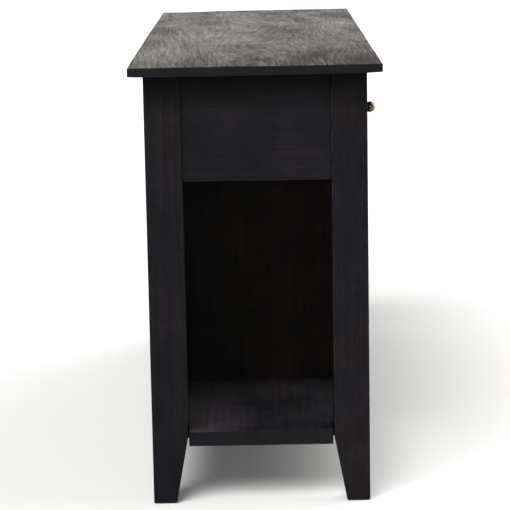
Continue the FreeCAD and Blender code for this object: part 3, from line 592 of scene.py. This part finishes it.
top = make_piece(bm, "table_top", "table_frame", worn_top_with_painted_sheen, "xyz")
WEAR_AND_SHEEN_FADES = (  # where the face is lighter or darker than elsewhere, partly wear and partly painted sheen: x, y, reach along and across, amount
    (-0.60, -0.17, 0.16, 0.10, -0.09),
    (-0.30, -0.20, 0.30, 0.03, -0.04),
    (0.10, 0.05, 0.50, 0.12, 0.015),
    (-0.42, -0.02, 0.22, 0.10, -0.02),
    (-0.50, 0.12, 0.25, 0.08, 0.03),
    (-0.64, -0.02, 0.10, 0.14, -0.05),
    (-0.62, 0.15, 0.12, 0.10, -0.04),
    (-0.57, 0.105, 0.20, 0.045, -0.045),
    (-0.59, -0.11, 0.07, 0.05, -0.06),
    (0.48, 0.13, 0.25, 0.07, 0.03),
)
KNOTS = (  # where the grain bows round a knot or the fork of a branch: x, y, reach along and across, bow
    (0.18, -0.02, 0.22, 0.07, 0.055),
    (-0.28, 0.03, 0.16, 0.05, -0.035),
    (0.42, 0.14, 0.14, 0.05, 0.035),
    (-0.40, -0.14, 0.14, 0.05, 0.030),
)
# Each of the three boards comes from its own place in the tree.
BOARD_SHIFTS = (Vector((0.0, 0.0, 0.0)), Vector((3.1, 0.03, 0.02)), Vector((5.7, -0.05, -0.03)))
top_wear_and_sheen = top.data.attributes.new("wear_and_sheen", "FLOAT", "POINT")
top_grain = top.data.attributes["grain"]
for vertex in top.data.vertices:
    board = sum(vertex.co.y > joint for joint in TOP_JOINTS)
    bent = Vector((0.0, sum(hill(vertex.co, *knot) for knot in KNOTS), 0.0))
    grown = top_grain.data[vertex.index]
    grown.vector = Vector(grown.vector) + BOARD_SHIFTS[board] + bent
    top_wear_and_sheen.data[vertex.index].value = sum(hill(vertex.co, *fade) for fade in WEAR_AND_SHEEN_FADES)


# ---- Drawers --------------------------------------------------------------------------------------------
# Three inset drawers with stained fronts. The sides are dovetailed into the front, the back is let into
# the sides, and the bottom slides into grooves from behind.

# Bare softwood gone honey-brown: paler than the runners, with bold rings and a dull planed face.
LINING_WOOD = ("#7a5b3d", "#866747", "#977551", "#a5835d", "#b3926c")
LINING_TINTS = ("#fff0e2", "#ffffff", "#f4f2e6")
lining_wood = sawn_wood(
    "drawer_lining_softwood", LINING_WOOD, LINING_TINTS, "#c4a680", ring_mm=5.0, ring_share=0.5, fibre_mm=3.0,
    roughness=(0.6, 0.75), specular=0.35, relief_mm=0.2, rub=0.35)
FRONT_ARRIS = 0.0010
for name in ("left", "middle", "right"):
    body = f"{name}_drawer"
    bm = cad_copy(f"{name}_drawer_front")
    ease_arrises(bm, FRONT_ARRIS)
    make_piece(bm, f"{name}_drawer_front", body, black_wood, "xzy")
    for part, lay in (("left_side", "yzx"), ("right_side", "yzx"), ("back", "xzy"), ("bottom", "xyz")):
        bm = cad_copy(f"{name}_drawer_{part}")
        ease_arrises(bm, INNER_ARRIS)
        make_piece(bm, f"{name}_drawer_{part}", body, lining_wood, lay)


# ---- Knobs ----------------------------------------------------------------------------------------------
# A small cast and turned brass knob at the middle of each drawer front: a domed button on a cone, over a
# thin foot. Each is held by a screw from inside the drawer.

KNOB_BALL = 0.0095
KNOB_STEM = (  # radius, then distance from the drawer front, from the foot up to the ball
    (0.0065, 0.0), (0.0065, 0.0016), (0.0060, 0.0024), (0.0049, 0.0028), (0.0046, 0.0036), (0.0047, 0.0046),
    (0.0061, 0.0085),
)
BALL_START = math.radians(-37)  # where the cone meets the ball, measured from the ball's widest
BALL_POINTS = 16
KNOB_STEPS = 40
KNOB_SAME_POINT = 0.000005


def turned_knob(centre, face_y, tip_y):
    """A bmesh of a knob, spun about its own axis out of its outline."""
    bm = bmesh.new()
    outline = list(KNOB_STEM)
    ball_reach = face_y - tip_y - KNOB_BALL
    for step in range(BALL_POINTS + 1):
        angle = BALL_START + (math.pi / 2 - BALL_START) * step / BALL_POINTS
        outline.append((KNOB_BALL * math.cos(angle), ball_reach + KNOB_BALL * math.sin(angle)))
    corners = [bm.verts.new((centre.x + radius, face_y - reach, centre.z)) for radius, reach in outline]
    edges = [bm.edges.new(pair) for pair in zip(corners, corners[1:])]
    bmesh.ops.spin(
        bm, geom=corners + edges, cent=(centre.x, 0, centre.z), axis=(0, 1, 0), angle=math.tau,
        steps=KNOB_STEPS, use_merge=True)
    bmesh.ops.remove_doubles(bm, verts=bm.verts, dist=KNOB_SAME_POINT)
    bmesh.ops.holes_fill(bm, edges=[e for e in bm.edges if e.is_boundary], sides=0)
    bmesh.ops.recalc_face_normals(bm, faces=bm.faces)
    for face in bm.faces:
        face.smooth = len(face.verts) < 5  # all but the flat end under the foot
    return bm


# Antique brass: cast, turned and then darkened, brown-grey in the hollows and rubbed brighter on the dome.
BRASS_DARK = ("#241f17", "#4b4334", "#6f6550", "#978b73")
PATINA_MM = 3.57  # the cloudy patches of the patina
LATHE_MM = 6.25  # turning marks, nine times closer along the knob, still coarser than real ones, to show
aged_brass, tree = new_material("antique_turned_brass")
here = add(tree, "ShaderNodeTexCoord").outputs["Object"]
patina = add(
    tree, "ShaderNodeTexNoise", [("Vector", here)], Scale=1000 / PATINA_MM, Detail=5.0, Roughness=0.65)
turned = add(tree, "ShaderNodeMapping", [("Vector", here)], Scale=(1.0, 9.0, 1.0))
lathe = add(tree, "ShaderNodeTexNoise", [("Vector", turned.outputs[0])], Scale=1000 / LATHE_MM, Detail=3.0)
dome = add(tree, "ShaderNodeAttribute", attribute_name="rubbed").outputs["Fac"]
mixed = add(tree, "ShaderNodeMix", [("A", patina.outputs["Fac"]), ("B", dome)], Factor=0.5)
base = add(tree, "ShaderNodeValToRGB", [("Fac", mixed.outputs[0])], stops=spread(BRASS_DARK, 0.25, 0.75))
rough = add(
    tree, "ShaderNodeMapRange", [("Value", patina.outputs["Fac"])], From_Min=0.35, From_Max=0.65,
    To_Min=0.16, To_Max=0.30)
bump = add(tree, "ShaderNodeBump", [("Height", lathe.outputs["Fac"])], Strength=0.12, Distance=0.0002)
shader = add(
    tree, "ShaderNodeBsdfPrincipled",
    [("Base Color", base.outputs[0]), ("Roughness", rough.outputs[0]), ("Normal", bump.outputs[0])],
    Metallic=1.0)
add(tree, "ShaderNodeOutputMaterial", [("Surface", shader.outputs[0])])

for name in ("left", "middle", "right"):
    knob_low, knob_high = (Vector(corner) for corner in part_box(f"{name}_drawer_knob"))
    bm = turned_knob((knob_low + knob_high) / 2, knob_high.y, knob_low.y)
    mesh = bpy.data.meshes.new(f"{name}_drawer_knob")
    bm.to_mesh(mesh)
    bm.free()
    mesh.materials.append(aged_brass)
    rubbed = mesh.attributes.new("rubbed", "FLOAT", "POINT")
    for vertex in mesh.vertices:  # from the middle of the knob's length to its tip
        reach = (knob_high.y - vertex.co.y) / (knob_high.y - knob_low.y)
        rubbed.data[vertex.index].value = max(0.0, reach * 2 - 1)
    knob = bpy.data.objects.new(f"{name}_drawer_turned_knob", mesh)
    bpy.context.collection.objects.link(knob)
    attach(knob, f"{name}_drawer")
    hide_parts(f"{name}_drawer_knob")


# ---- Screws ---------------------------------------------------------------------------------------------
# Slotted steel screws: up through the kickers and the top rail into the top, up into each drawer's back,
# and through each front into its knob.

# Plain drawn steel gone dull: mid-grey with brown specks, and fine turning marks under the heads.
STEEL_DULL = ("#4f4a45", "#74716d", "#8d8b88", "#a3a19e")
SPECK_MM = 1.67  # the brown specks
MARK_MM = 0.455  # the turning marks
dull_steel, tree = new_material("dull_steel_screw")
here = add(tree, "ShaderNodeTexCoord").outputs["Object"]
specks = add(
    tree, "ShaderNodeTexNoise", [("Vector", here)], Scale=1000 / SPECK_MM, Detail=4.0, Roughness=0.7)
marks = add(tree, "ShaderNodeTexNoise", [("Vector", here)], Scale=1000 / MARK_MM, Detail=2.0)
base = add(
    tree, "ShaderNodeValToRGB", [("Fac", specks.outputs["Fac"])], stops=spread(STEEL_DULL, 0.32, 0.66))
rough = add(
    tree, "ShaderNodeMapRange", [("Value", specks.outputs["Fac"])], From_Min=0.35, From_Max=0.65,
    To_Min=0.6, To_Max=0.34)
bump = add(tree, "ShaderNodeBump", [("Height", marks.outputs["Fac"])], Strength=0.3, Distance=0.0001)
shader = add(
    tree, "ShaderNodeBsdfPrincipled",
    [("Base Color", base.outputs[0]), ("Roughness", rough.outputs[0]), ("Normal", bump.outputs[0])],
    Metallic=1.0)
add(tree, "ShaderNodeOutputMaterial", [("Surface", shader.outputs[0])])
screw_nodes = ["top_screws"]
for name in ("left", "middle", "right"):
    screw_nodes += [f"{name}_drawer_bottom_screws", f"{name}_drawer_knob_bolt"]
for node in screw_nodes:
    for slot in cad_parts[node].material_slots:
        slot.material = dull_steel
